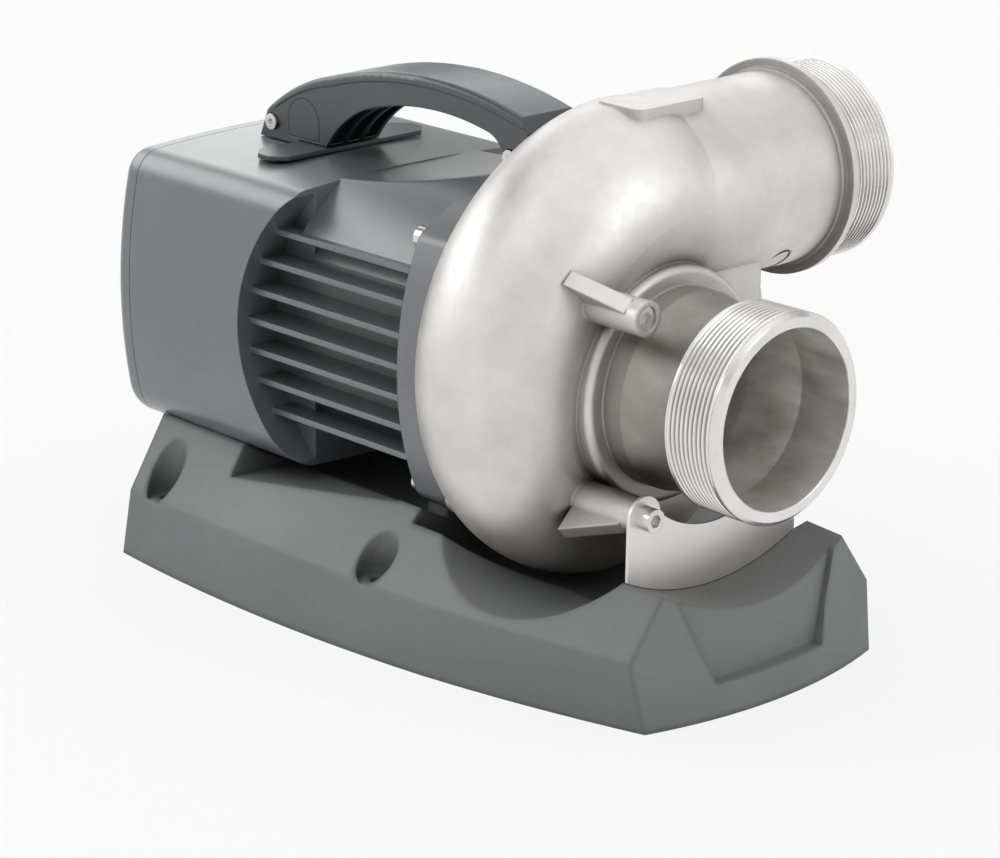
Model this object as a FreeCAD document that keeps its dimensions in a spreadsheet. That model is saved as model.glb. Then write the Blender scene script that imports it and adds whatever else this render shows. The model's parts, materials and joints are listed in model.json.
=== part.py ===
import FreeCAD, Part
import math
import os
import re
import Sketcher

# Pond pump on its base. +X runs along the shaft towards the suction mouth, +Y towards the
# discharge mouth, +Z up. The origin lies on the floor, under the shaft.

doc = FreeCAD.newDocument("PondPump")
sheet = doc.addObject("Spreadsheet::Sheet", "Sizes")

# Driving dimensions in millimetres, measured along the axes above.
SIZES = {
    "shaft_height": 118.5,
    "slip": 0.3,
    "running_gap": 0.05,
    # base
    "base_tail": 148,
    "base_nose": 149,
    "base_foot_nose": 155,
    "tail_half": 92,
    "belly_half": 91.7,
    "belly_place": 50,
    "nose_half": 68.5,
    "crease_height": 29,
    "crease_tail_half": 87,
    "crease_belly_half": 86.5,
    "crease_nose_half": 72,
    "rim_height": 62,
    "rim_tail_half": 66.5,
    "rim_belly_half": 54,
    "rim_nose_half": 47.5,
    "foot_bow": 10.5,
    "crease_bow": 8,
    "rim_bow": 5,
    "foot_rear_arc": 793,
    "foot_front_arc": 760,
    "crease_rear_arc": 1600,
    "crease_front_arc": 900,
    "trough_radius": 115,
    "trough_floor": 39.5,
    "notch_rear": 98,
    "notch_slope": 6,
    "notch_floor_rear": 46.4,
    "notch_front": 3,
    "notch_floor_front": 56.6,
    "basin_place": 80,
    "basin_radius": 65.4,
    "basin_centre": 97.5,
    "volute_room": 4,
    "bolt_rear": 130.5,
    "bolt_pitch": 140,
    "bolt_half": 80,
    "bolt_radius": 3.25,
    "bolt_pocket_radius": 9,
    "bolt_floor": 28,
    "panel_floor": 13,
    "panel_depth": 2.5,
    "panel_foot_half": 32,
    "panel_head_half": 52,
    "panel_lean": 2.4,
    "panel_arc": 260,
    "hollow_depth": 18,
    "hollow_rear": 140,
    "hollow_pitch": 35,
    "hollow_length": 30,
    "hollow_pitch_across": 30,
    "rib_thickness": 5,
    "saddle_half": 46,
    "saddle_width": 12,
    "case_saddle_place": 125,
    "flange_saddle_place": 10,
    # motor housing and rear cover
    "case_rear": 157.5,
    "case_half": 78,
    "case_half_high": 64,
    "case_corner_half": 70,
    "case_corner_high": 61,
    "case_round": 13,
    "case_low_round": 20,
    "case_low_across": 53.85,
    "case_low_drop": 42.2,
    "shoulder_place": 58,
    "scoop_radius": 83,
    "scoop_root": 55.5,
    "barrel_radius": 63.5,
    "barrel_tail": 20,
    "case_bore": 53,
    "bore_floor": 62,
    "fin_pitch": 13.4,
    "fin_thickness": 2.6,
    "fin_rise": 1.5,
    "ramp_tail": 40,
    "ramp_root": 60,
    "room_depth": 85,
    "room_half": 55,
    "room_half_high": 44,
    "seal_inset": 4.5,
    "seal_width": 3,
    "seal_depth": 2,
    "cover_depth": 9.5,
    "cover_round": 5,
    "cover_hollow": 4,
    "cover_screw_across": 59,
    "cover_screw_up": 49,
    "gland_rise": 30,
    "gland_radius": 8,
    "gland_half": 11,
    "gland_hex_height": 6,
    "gland_cap_radius": 10.5,
    "gland_length": 22,
    "gland_bore": 4.5,
    # motor flange
    "flange_rear": 12,
    "flange_front": 30,
    "flange_half": 72,
    "flange_half_high": 75,
    "flange_corner_half": 60,
    "flange_corner_high": 56,
    "flange_round": 8,
    "flange_screw_spot": 53,
    "seal_radius": 44.5,
    "seal_cord": 1.35,
    "seal_room": 0.15,
    # volute
    "casing_radius": 90,
    "casing_wall": 4.5,
    "scroll_place": 57.5,
    "scroll_start_radius": 26.5,
    "discharge_radius": 42,
    "discharge_rise": 67,
    "discharge_end": 134.8,
    "outlet_start": 26,
    "throat_place": 84,
    "thread_radius": 43.94,
    "thread_length": 29,
    "thread_bevel": 1,
    "collar_radius": 47.15,
    "collar_thickness": 2.8,
    "mouth_bore": 37.8,
    "land_place": 101.7,
    "land_radius": 50,
    "land_round": 3,
    "hub_depth": 10,
    "hub_radius": 42,
    "neck_radius": 40,
    "neck_hollow": 1.5,
    "neck_length": 26,
    "neck_bore": 33.5,
    "suction_end": 163.4,
    "suction_thread": 25.5,
    "rim_bevel": 2,
    "pad_rise": 43.1,
    "pad_rear": 50.5,
    "pad_front": 76.5,
    "pad_near": 2,
    "pad_far": 42.5,
    "pad_round": 5,
    "pad_depth": 12,
    "ear_radius": 8,
    "ear_length": 7.5,
    "web_thickness": 7,
    "web_drop": 6,
    "web_reach": 18,
    "web_foot": 92,
    "bead_radius": 43.2,
    "bead_width": 3,
    "limb_front": 88,
    "limb_half": 66.5,
    "limb_inner": 30,
    "limb_low": 8,
    # bosses and bracket plate
    "boss_circle": 41.2,
    "boss_radius": 7.4,
    "boss_end": 124.6,
    "boss_hole_depth": 26,
    "plate_thickness": 1.5,
    "plate_ear": 9,
    # screws: a large and a small kind
    "large_radius": 3,
    "large_head_radius": 5,
    "large_head_height": 6,
    "large_socket_half": 2.5,
    "small_radius": 2,
    "small_head_radius": 3.6,
    "small_head_height": 2.4,
    "small_socket_half": 1.3,
    # handle
    "handle_half": 16,
    "handle_tail": 140.3,
    "handle_heel": 97.3,
    "heel_arc": 55,
    "arch_rear": 61,
    "arch_rear_rise": 90.5,
    "arch_radius": 142,
    "arch_front": 4.8,
    "arch_front_rise": 91.8,
    "arch_front_arc": 14,
    "toe_rear": 16.5,
    "toe_rise": 95,
    "handle_front": 25.5,
    "handle_front_rise": 101,
    "crown_radius": 211,
    "crown_rear": 92.9,
    "crown_rear_rise": 98.8,
    "shoulder_radius": 105.6,
    "handle_shoulder": 134.7,
    "handle_shoulder_rise": 78.4,
    "handle_round": 2.5,
    "band_step": 0.4,
    "band_width": 4.5,
    "handle_screw_rear": 131.7,
    "handle_screw_rear_rise": 71.9,
    "handle_screw_front": 20,
    "handle_screw_front_rise": 82.9,
    "head_sink": 1.2,
    "lug_half": 8,
    "lug_half_length": 4,
    "lug_over": 5.5,
    "handle_rib": 2.6,
    "handle_rib_place": 100,
    "handle_rib_low": 67.5,
    "handle_rib_high": 86,
    "plug_place": 110.8,
    "plug_radius": 10.3,
    "plug_low": 67.5,
    "plug_centre": 75.2,
    "plug_depth": 2,
    "strap_thickness": 2,
    "strap_half": 45,
    "strap_width": 20,
    "strap_front": 93.5,
    "strap_cut": 6,
    # rotor
    "shaft_radius": 6,
    "shaft_rear": 53,
    "shaft_front": 61,
    "shaft_bevel": 0.8,
    "magnet_radius": 24,
    "magnet_rear": 36,
    "magnet_front": 8,
    "impeller_radius": 50,
    "impeller_place": 38,
    "impeller_width": 31,
    "shroud_thickness": 3,
    "eye_radius": 30,
    "hub_outer": 12,
    "hub_front": 54,
    "vane_count": 6,
    "vane_root": 14,
    "vane_tip": 48.5,
    "vane_sweep": 68,
    "vane_thickness": 3,
    "vane_outer_arc": 46,
    "vane_inner_arc": 43,
    "nut_half": 8,
    "nut_height": 6,
    # motor inside
    "can_radius": 26.5,
    "can_wall": 1,
    "can_rear": 58,
    "can_rim_radius": 36,
    "can_rim": 2,
    "bearing_radius": 11,
    "bearing_rear": 52,
    "bearing_front": 14,
    "bearing_length": 12,
    "stator_radius": 52.7,
    "yoke_radius": 44,
    "stator_bore": 28.8,
    "stator_rear": 50,
    "stator_length": 50,
    "tooth_width": 14,
    "tooth_count": 6,
    "coil_low": 32,
    "coil_height": 10,
    "coil_width": 4.5,
    "board_rear": 150,
    "board_length": 62,
    "board_half": 50,
    "board_thickness": 2,
}

for row, (name, value) in enumerate(SIZES.items(), start=1):
    sheet.set("A%d" % row, name)
    sheet.set("B%d" % row, str(value))
    sheet.setAlias("B%d" % row, name)
doc.recompute()

PARTS = []


def sized(text):
    """Turn bare size names in a formula into references to the sheet's cells."""
    def reference(match):
        name = match.group()
        return "Sizes." + name if name in SIZES else name

    return re.sub(r"[a-z]+(?:_[a-z]+)+|slip", reference, str(text))


def value(text):
    """The number that a formula of size names gives."""
    result = sheet.evalExpression(sized(text))
    return float(getattr(result, "Value", result))


def bind(thing, **formulas):
    """Bind properties to formulas of the driving dimensions; a double underscore stands for a dot."""
    for prop, text in formulas.items():
        thing.setExpression(prop.replace("__", "."), sized(text))
    return thing


def new_body(label, on_shaft=True):
    """An empty body; one on the shaft has its own origin at the shaft's height."""
    body = doc.addObject("PartDesign::Body", label)
    body.Label = label
    if on_shaft:
        bind(body, Placement__Base__z="shaft_height")
    return body


def keep(thing):
    """Count a finished object as a sub-part."""
    PARTS.append(thing)
    return thing


def plane(body, role):
    return next(item for item in body.Origin.OriginFeatures if item.Role == role)


def new_sketch(body, name, role, **offsets):
    """A sketch on one of the body's own origin planes, moved by formulas for x, y and z."""
    sketch = body.newObject("Sketcher::SketchObject", name)
    sketch.AttachmentSupport = (plane(body, role), [""])
    sketch.MapMode = "FlatFace"
    for axis, text in offsets.items():
        sketch.setExpression("AttachmentOffset.Base." + axis, sized(text))
    return sketch


def origin_axis(body, role="X_Axis"):
    return (plane(body, role), [""])


def bound(sketch, kind, where, text):
    """Add a constraint whose size follows a formula."""
    index = sketch.addConstraint(Sketcher.Constraint(kind, *where, value(text)))
    sketch.setExpression("Constraints[%d]" % index, sized(text))


def pin_point(sketch, geometry, point, across, up):
    """Place a point of the geometry by its distances from the sketch's origin."""
    bound(sketch, "DistanceX", (-1, 1, geometry, point), across)
    bound(sketch, "DistanceY", (-1, 1, geometry, point), up)


def circle(sketch, radius, across="0", up="0"):
    centre = FreeCAD.Vector(value(across), value(up), 0)
    index = sketch.addGeometry(Part.Circle(centre, FreeCAD.Vector(0, 0, 1), value(radius)), False)
    bound(sketch, "Radius", (index,), radius)
    pin_point(sketch, index, 3, across, up)


def split_circle(sketch, radius):
    """A circle about the sketch's origin, drawn as four equal arcs."""
    outline(sketch, [(radius, "0", radius), ("0", radius, radius),
                     ("-" + radius, "0", radius), ("0", "-" + radius, radius)])


def arc_between(first, last, radius):
    """The short arc from first to last; it bulges to the right of that way when the radius is positive."""
    chord = last - first
    half = chord.Length / 2
    side = FreeCAD.Vector(chord.y, -chord.x, 0).normalize()
    if radius < 0:
        side = side * -1
    size = max(abs(radius), half * 1.0001)
    centre = (first + last) * 0.5 - side * math.sqrt(size * size - half * half)
    ends = (first, last) if radius > 0 else (last, first)
    angles = [math.atan2(end.y - centre.y, end.x - centre.x) for end in ends]
    return Part.ArcOfCircle(Part.Circle(centre, FreeCAD.Vector(0, 0, 1), size), angles[0], angles[1])


def outline(sketch, points):
    """A closed outline through (across, up) points, drawn anticlockwise. A third entry makes the edge
    that leaves the point an arc of that radius: bulging outwards, or inwards when it starts with a minus."""
    spots = [FreeCAD.Vector(value(p[0]), value(p[1]), 0) for p in points]
    starts, ends = [], []
    for number, point in enumerate(points):
        first, last = spots[number], spots[(number + 1) % len(spots)]
        if len(point) == 2:
            index = sketch.addGeometry(Part.LineSegment(first, last), False)
            starts.append((index, 1))
            ends.append((index, 2))
            continue
        inward = point[2].startswith("-")
        radius = point[2].lstrip("-")
        index = sketch.addGeometry(arc_between(first, last, value(radius) * (-1 if inward else 1)), False)
        bound(sketch, "Radius", (index,), radius)
        starts.append((index, 2 if inward else 1))
        ends.append((index, 1 if inward else 2))
    for number, point in enumerate(points):
        pin_point(sketch, starts[number][0], starts[number][1], point[0], point[1])
        before = ends[number - 1]
        sketch.addConstraint(Sketcher.Constraint("Coincident", before[0], before[1],
                                                 starts[number][0], starts[number][1]))


def box_outline(sketch, left, low, right, high):
    outline(sketch, [(left, low), (right, low), (right, high), (left, high)])


def hexagon(sketch, half, across="0", up="0"):
    """A hexagon of the given half width across flats."""
    spots = []
    for corner in range(6):
        angle = math.radians(60 * corner)
        reach = "%s / %.6f" % (half, math.cos(math.radians(30)))
        spots.append(("%s + %s * %.6f" % (across, reach, math.cos(angle)),
                      "%s + %s * %.6f" % (up, reach, math.sin(angle))))
    outline(sketch, spots)


def feature(body, kind, name, sketch, **settings):
    """A sketch-based feature; settings that are formulas are bound, the others are set."""
    item = body.newObject("PartDesign::" + kind, name)
    item.Profile = sketch
    for prop, setting in settings.items():
        if isinstance(setting, str) and prop not in ("Type", "Type2", "SideType"):
            bind(item, **{prop: setting})
        else:
            setattr(item, prop, setting)
    return item


def pad(body, sketch, length, name="Pad", **settings):
    return feature(body, "Pad", name, sketch, Length=length, **settings)


def pocket(body, sketch, length=None, name="Pocket", **settings):
    """A cut; without a length it runs through everything on both sides of the sketch."""
    if length is None:
        return feature(body, "Pocket", name, sketch, Type="ThroughAll", Type2="ThroughAll",
                       SideType="Two sides", **settings)
    return feature(body, "Pocket", name, sketch, Length=length, **settings)


def turned(body, points, name="Turn", kind="Revolution"):
    """A solid or groove of revolution about the shaft, from an outline of (along, radius) points."""
    sketch = new_sketch(body, name + "Profile", "XZ_Plane")
    outline(sketch, points)
    item = feature(body, kind, name, sketch)
    item.ReferenceAxis = (sketch, ["H_Axis"])
    return item


def rounded(body, radius, pick, name="Round", kind="Fillet"):
    """Round or bevel the edges of the body so far that the test picks."""
    doc.recompute()
    tip = body.Tip
    names = ["Edge%d" % number for number, edge in enumerate(tip.Shape.Edges, start=1) if pick(edge)]
    item = body.newObject("PartDesign::" + kind, name)
    item.Base = (tip, names)
    bind(item, **{"Radius" if kind == "Fillet" else "Size": radius})
    return item


def runs_along(edge, axis):
    """True for a straight edge along the axis."""
    if not isinstance(edge.Curve, Part.Line):
        return False
    return abs(edge.tangentAt(edge.FirstParameter).dot(axis)) > 0.999


ALONG_X = FreeCAD.Vector(1, 0, 0)
ALONG_Y = FreeCAD.Vector(0, 1, 0)
ALONG_Z = FreeCAD.Vector(0, 0, 1)
QUARTER = 90


def bow_radius(half, rise):
    """Formula for the radius of an arc over a chord of the given half length and rise."""
    return "((%s) * (%s) + (%s) * (%s)) / (2 * (%s))" % (half, half, rise, rise, rise)


def base_section(sketch, tail, belly, nose, nose_place, bow, arcs):
    """Plan outline of the base at one level, with bowed ends and, where given, arcs along the sides."""
    rear = [] if arcs is None else [arcs[0]]
    front = [] if arcs is None else [arcs[1]]
    outline(sketch, [
        ["-base_tail", "-" + tail] + rear,
        ["belly_place", "-" + belly] + front,
        [nose_place, "-" + nose, bow_radius(nose, bow)],
        [nose_place, nose] + front,
        ["belly_place", belly] + rear,
        ["-base_tail", tail, bow_radius(tail, "rim_bow")],
    ])


def base():
    """Moulded base: bowed skirt, sloping flanks, a round trough on top, a basin for the volute, saddles
    under the motor, bolt pockets and a ribbed hollow underneath."""
    body = new_body("base", on_shaft=False)
    foot = new_sketch(body, "Foot", "XY_Plane")
    base_section(foot, "tail_half", "belly_half", "nose_half", "base_foot_nose", "foot_bow",
                 ("foot_rear_arc", "foot_front_arc"))
    crease = new_sketch(body, "Crease", "XY_Plane", z="crease_height")
    base_section(crease, "crease_tail_half", "crease_belly_half", "crease_nose_half", "base_nose",
                 "crease_bow", ("crease_rear_arc", "crease_front_arc"))
    rim = new_sketch(body, "Rim", "XY_Plane", z="rim_height")
    base_section(rim, "rim_tail_half", "rim_belly_half", "rim_nose_half", "base_nose", "rim_bow", None)
    hull = body.newObject("PartDesign::AdditiveLoft", "Hull")
    hull.Profile = foot
    hull.Sections = [crease, rim]
    hull.Ruled = True

    trough = new_sketch(body, "TroughProfile", "YZ_Plane")
    circle(trough, "trough_radius", "0", "trough_floor + trough_radius")
    pocket(body, trough, name="Trough")
    notch = new_sketch(body, "NotchProfile", "XZ_Plane")
    outline(notch, [("notch_slope - notch_rear", "notch_floor_rear"), ("notch_front", "notch_floor_front"),
                    ("notch_front", "rim_height * 2"), ("-notch_rear - notch_slope", "rim_height * 2")])
    pocket(body, notch, name="Notch")
    basin = new_sketch(body, "BasinProfile", "XZ_Plane")
    circle(basin, "basin_radius", "basin_place", "basin_centre")
    pocket(body, basin, name="Basin")

    corners = new_sketch(body, "CornerRoomProfile", "YZ_Plane", z="-shoulder_place")
    for side in ("-", ""):
        circle(corners, "case_low_round + slip", side + "case_low_across", "shaft_height - case_low_drop")
    pocket(body, corners, "base_tail * 2", name="CornerRoom")

    saddle(body, "CaseSaddle", "-case_saddle_place", "case_corner_half", "case_half_high", "case_corner_high")
    saddle(body, "FlangeSaddle", "flange_saddle_place", "flange_corner_half", "flange_half_high",
           "flange_corner_high")
    room = new_sketch(body, "VoluteRoomProfile", "YZ_Plane", z="flange_rear + volute_room")
    circle(room, "casing_radius + volute_room", "0", "shaft_height")
    pocket(body, room, "land_place - flange_rear", name="VoluteRoom", Reversed=True)

    for place in ("-bolt_rear", "-bolt_rear + bolt_pitch"):
        for side in ("-", ""):
            seat = new_sketch(body, "BoltPocketProfile", "XY_Plane", z="bolt_floor")
            circle(seat, "bolt_pocket_radius", place, side + "bolt_half")
            pocket(body, seat, "rim_height", name="BoltPocket", Reversed=True)
            hole = new_sketch(body, "BoltHoleProfile", "XY_Plane")
            circle(hole, "bolt_radius", place, side + "bolt_half")
            pocket(body, hole, name="BoltHole")

    panel = []
    ends = (("PanelFoot", "panel_floor", "panel_foot_half", "base_foot_nose + panel_lean"),
            ("PanelHead", "rim_height", "panel_head_half", "base_nose"))
    for name, level, half, front in ends:
        sketch = new_sketch(body, name, "XY_Plane", z=level)
        far = front + " + foot_bow * 3"
        back = front + " - panel_depth"
        outline(sketch, [(far, "-" + half), (far, half), (back, half, "-panel_arc"), (back, "-" + half)])
        panel.append(sketch)
    recess = body.newObject("PartDesign::SubtractiveLoft", "Panel")
    recess.Profile = panel[0]
    recess.Sections = panel[1:]
    recess.Ruled = True

    hollows = new_sketch(body, "HollowProfile", "XY_Plane")
    for column in range(8):
        left = "%d * hollow_pitch - hollow_rear" % column
        for row in range(-2, 2):
            low = "%d * hollow_pitch_across + rib_thickness / 2" % row
            box_outline(hollows, left, low, left + " + hollow_length",
                        low + " + hollow_pitch_across - rib_thickness")
    pocket(body, hollows, "hollow_depth", name="Hollows", Reversed=True)
    return keep(body)


def saddle(body, name, place, half, mid, corner):
    """A rib across the trough whose top follows the bowed underside of what it carries."""
    sketch = new_sketch(body, name + "Profile", "YZ_Plane", x="0", y="shaft_height", z=place)
    bow = bow_radius(half, "%s - %s" % (mid, corner))
    drop = "%s - (%s) + sqrt((%s)^2 - saddle_half^2)" % (mid, bow, bow)
    outline(sketch, [("-saddle_half", "trough_floor - shaft_height - casing_wall"),
                     ("saddle_half", "trough_floor - shaft_height - casing_wall"),
                     ("saddle_half", "-(%s) - slip" % drop, "-(%s)" % bow),
                     ("-saddle_half", "-(%s) - slip" % drop)])
    pad(body, sketch, "saddle_width", name=name, SideType="Symmetric")


def case_outline(sketch, inset="0"):
    """Section of the motor case: four bowed sides that meet at corners."""
    half = "(case_corner_half - (%s))" % inset
    high = "(case_corner_high - (%s))" % inset
    side = bow_radius(high, "case_half - case_corner_half")
    top = bow_radius(half, "case_half_high - case_corner_high")
    outline(sketch, [("-" + half, "-" + high, top), (half, "-" + high, side),
                     (half, high, top), ("-" + half, high, side)])


def case_corners(body):
    """Round the case's upper corners, and its lower ones more widely."""
    rounded(body, "case_round", lambda edge: runs_along(edge, ALONG_X) and edge.CenterOfMass.z > 0,
            name="UpperCorners")
    rounded(body, "case_low_round", lambda edge: runs_along(edge, ALONG_X) and edge.CenterOfMass.z < 0,
            name="LowerCorners")


def motor_housing():
    """Case block with rounded corners, scooped front wall, round barrel, side fins, a bore for the stator
    and a room for the control board."""
    body = new_body("motor_housing")
    block = new_sketch(body, "BlockProfile", "YZ_Plane", z="-case_rear")
    case_outline(block)
    pad(body, block, "case_rear - shoulder_place", name="Block")
    case_corners(body)
    barrel = new_sketch(body, "BarrelProfile", "YZ_Plane", z="-shoulder_place - barrel_tail")
    circle(barrel, "barrel_radius")
    pad(body, barrel, "flange_rear + shoulder_place + barrel_tail", name="Barrel")
    for side in ("-", ""):
        scoop = new_sketch(body, "ScoopProfile", "XZ_Plane", z=side + "scoop_root")
        circle(scoop, "scoop_radius")
        pocket(body, scoop, "case_half", name="Scoop", Reversed=side == "")
    ramp = new_sketch(body, "RampProfile", "XZ_Plane")
    outline(ramp, [("-ramp_tail", "ramp_root"), ("flange_rear", "ramp_root"),
                   ("flange_rear", "flange_half_high - slip")])
    pad(body, ramp, "handle_half * 2", name="Ramp", SideType="Symmetric")
    fins = new_sketch(body, "FinProfile", "YZ_Plane", z="slip - scoop_radius")
    bow = bow_radius("flange_corner_high", "flange_half - flange_corner_half")
    for count in range(-3, 4):
        rise = "(%d * fin_pitch + fin_rise)" % count
        tip = "flange_half - slip - (%s) + sqrt((%s)^2 - %s^2)" % (bow, bow, rise)
        root = "scoop_root - fin_thickness"
        low = rise + " - fin_thickness / 2"
        high = rise + " + fin_thickness / 2"
        box_outline(fins, root, low, tip, high)
        box_outline(fins, "-(%s)" % tip, low, "-(%s)" % root, high)
    pad(body, fins, "scoop_radius - slip + flange_rear", name="Fins")
    lug(body, "RearLug", "-handle_screw_rear", "handle_screw_rear_rise", "case_half_high")
    bore = new_sketch(body, "BoreProfile", "YZ_Plane", z="flange_rear")
    circle(bore, "case_bore")
    pocket(body, bore, "flange_rear + bore_floor", name="Bore")
    room = new_sketch(body, "RoomProfile", "YZ_Plane", z="-case_rear")
    box_outline(room, "-room_half", "-room_half_high", "room_half", "room_half_high")
    pocket(body, room, "room_depth", name="Room", Reversed=True)
    groove = new_sketch(body, "SealGrooveProfile", "YZ_Plane", z="-case_rear")
    case_outline(groove, "seal_inset")
    case_outline(groove, "seal_inset + seal_width")
    pocket(body, groove, "seal_depth", name="SealGroove", Reversed=True)
    screw_holes(body, "small", COVER_SPOTS, "-case_rear", "cover_depth + thread_bevel", towards_front=True)
    return keep(body)


def lug(body, name, place, rise, root):
    """An upright lug with a cross hole, which the handle's foot straddles."""
    sketch = new_sketch(body, name + "Profile", "XZ_Plane")
    top = "%s + lug_over" % rise
    box_outline(sketch, "%s - lug_half_length" % place, "%s - casing_wall" % root,
                "%s + lug_half_length" % place, top)
    pad(body, sketch, "lug_half * 2", name=name, SideType="Symmetric")
    hole = new_sketch(body, name + "HoleProfile", "XZ_Plane")
    circle(hole, "small_radius + running_gap", place, rise)
    pocket(body, hole, "lug_half * 4", name=name + "Hole", SideType="Symmetric")


def rear_cover():
    """Hollow cap over the rear end of the case, with a rounded rim and a hole for the cable gland."""
    body = new_body("rear_cover")
    profile = new_sketch(body, "CoverProfile", "YZ_Plane", z="-case_rear - slip")
    case_outline(profile)
    pad(body, profile, "cover_depth", name="Cap", Reversed=True)
    case_corners(body)
    back = -value("case_rear + slip + cover_depth")
    rounded(body, "cover_round", lambda edge: abs(edge.BoundBox.XMax - back) < 0.01, name="CapRim")
    hollow = new_sketch(body, "CoverHollowProfile", "YZ_Plane", z="-case_rear - slip")
    box_outline(hollow, "-room_half", "-room_half_high", "room_half", "room_half_high")
    pocket(body, hollow, "cover_hollow", name="CoverHollow")
    hole = new_sketch(body, "GlandHoleProfile", "YZ_Plane")
    circle(hole, "gland_radius + running_gap", "0", "-gland_rise")
    pocket(body, hole, name="GlandHole")
    screw_holes(body, "small", COVER_SPOTS, "-case_rear - slip", "cover_depth")
    return keep(body)


def screw_holes(body, size, spots, start, depth, towards_front=False):
    """Holes along the shaft's direction for one kind of screw."""
    sketch = new_sketch(body, "ScrewHoleProfile", "YZ_Plane", z=start)
    for across, up in spots:
        circle(sketch, size + "_radius + running_gap", across, up)
    pocket(body, sketch, depth, name="ScrewHoles", Reversed=towards_front)


def screws(label, size, spots, seat, length, role="YZ_Plane", outward=True):
    """Socket head screws of one kind. Their heads stand on the seat, outwards along the plane's normal or,
    when not outward, against it; the shanks run the other way."""
    body = new_body(label)
    heads = new_sketch(body, "HeadProfile", role, z=seat)
    shanks = new_sketch(body, "ShankProfile", role, z=seat)
    top = "%s %s %s_head_height" % (seat, "+" if outward else "-", size)
    sockets = new_sketch(body, "SocketProfile", role, z=top)
    for across, up in spots:
        circle(heads, size + "_head_radius", across, up)
        circle(shanks, size + "_radius", across, up)
        hexagon(sockets, size + "_socket_half", across, up)
    pad(body, heads, size + "_head_height", name="Heads", Reversed=not outward)
    pad(body, shanks, length, name="Shanks", Reversed=outward)
    pocket(body, sockets, size + "_head_height / 2", name="Sockets", Reversed=not outward)
    return keep(body)


def rear_cover_seal():
    """Ring gasket in the groove around the case's rear opening."""
    body = new_body("rear_cover_seal")
    sketch = new_sketch(body, "GasketProfile", "YZ_Plane", z="-case_rear - slip")
    case_outline(sketch, "seal_inset + seal_room")
    case_outline(sketch, "seal_inset + seal_width - seal_room")
    pad(body, sketch, "seal_depth + slip", name="Gasket")
    return keep(body)


def cable_gland():
    """Gland low on the rear cover: threaded tail, hexagon and a domed cap with an open bore."""
    body = new_body("cable_gland")
    face = "-case_rear - slip - cover_depth"
    tail = new_sketch(body, "TailProfile", "YZ_Plane", z=face)
    circle(tail, "gland_radius", "0", "-gland_rise")
    pad(body, tail, "cover_depth", name="Tail")
    nut = new_sketch(body, "NutProfile", "YZ_Plane", z=face)
    hexagon(nut, "gland_half", "0", "-gland_rise")
    pad(body, nut, "gland_hex_height", name="Nut", Reversed=True)
    cap = new_sketch(body, "CapProfile", "YZ_Plane", z=face)
    circle(cap, "gland_cap_radius", "0", "-gland_rise")
    pad(body, cap, "gland_length", name="Cap", Reversed=True)
    back = -value("case_rear + slip + cover_depth + gland_length")
    rounded(body, "cover_round", lambda edge: abs(edge.BoundBox.XMax - back) < 0.01, name="Dome")
    bore = new_sketch(body, "CordBoreProfile", "YZ_Plane")
    circle(bore, "gland_bore", "0", "-gland_rise")
    pocket(body, bore, name="CordBore")
    return keep(body)


def motor_flange():
    """Flange between motor and volute: a bowed square with rounded corners and a lug for the handle."""
    body = new_body("motor_flange")
    profile = new_sketch(body, "FlangeProfile", "YZ_Plane", z="flange_rear + slip")
    side = bow_radius("flange_corner_high", "flange_half - flange_corner_half")
    top = bow_radius("flange_corner_half", "flange_half_high - flange_corner_high")
    outline(profile, [("-flange_corner_half", "-flange_corner_high", top),
                      ("flange_corner_half", "-flange_corner_high", side),
                      ("flange_corner_half", "flange_corner_high", top),
                      ("-flange_corner_half", "flange_corner_high", side)])
    pad(body, profile, "flange_front - flange_rear - slip", name="Plate")
    rounded(body, "flange_round", lambda edge: runs_along(edge, ALONG_X), name="PlateCorners")
    lug(body, "FrontLug", "handle_screw_front", "handle_screw_front_rise", "flange_half_high")
    turned(body, [
        ("0", "0"),
        ("flange_front * 2", "0"),
        ("flange_front * 2", "can_rim_radius + slip"),
        ("flange_front - can_rim", "can_rim_radius + slip"),
        ("flange_front - can_rim", "can_radius + can_wall + running_gap"),
        ("0", "can_radius + can_wall + running_gap"),
    ], name="CanSeat", kind="Groove")
    turned(body, [
        ("flange_front - seal_cord * 2 + slip", "seal_radius - seal_cord - seal_room"),
        ("flange_front * 2", "seal_radius - seal_cord - seal_room"),
        ("flange_front * 2", "seal_radius + seal_cord + seal_room"),
        ("flange_front - seal_cord * 2 + slip", "seal_radius + seal_cord + seal_room"),
    ], name="SealGroove", kind="Groove")
    screw_holes(body, "large", FLANGE_SPOTS, "flange_front", "flange_front - flange_rear")
    return keep(body)


def volute_seal():
    """Rubber ring between flange and volute."""
    ring = doc.addObject("Part::Torus", "volute_seal")
    ring.Label = "volute_seal"
    bind(ring, Radius1="seal_radius", Radius2="seal_cord")
    ring.Placement.Rotation = FreeCAD.Rotation(ALONG_Y, QUARTER)
    bind(ring, Placement__Base__x="flange_front + slip - seal_cord", Placement__Base__z="shaft_height")
    return keep(ring)


def scroll_centre(radius, angle):
    """Formula for the distance from the shaft to the centre of a scroll section that touches the casing."""
    rise = "%g" % ((max(0, angle - 180) / 90.0) ** 2)
    growth = "(discharge_rise + discharge_radius - casing_radius) * %s" % rise
    return "(casing_radius - (%s) + %s)" % (radius, growth)


def scroll_radius(angle):
    """Formula for the outer radius of the scroll section at an angle, which grows evenly."""
    share = "%.6f" % ((angle + 45) / 315.0)
    return "(scroll_start_radius + (discharge_radius - scroll_start_radius) * %s)" % share


WATER_BACK = "(flange_front + slip + casing_wall)"


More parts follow.
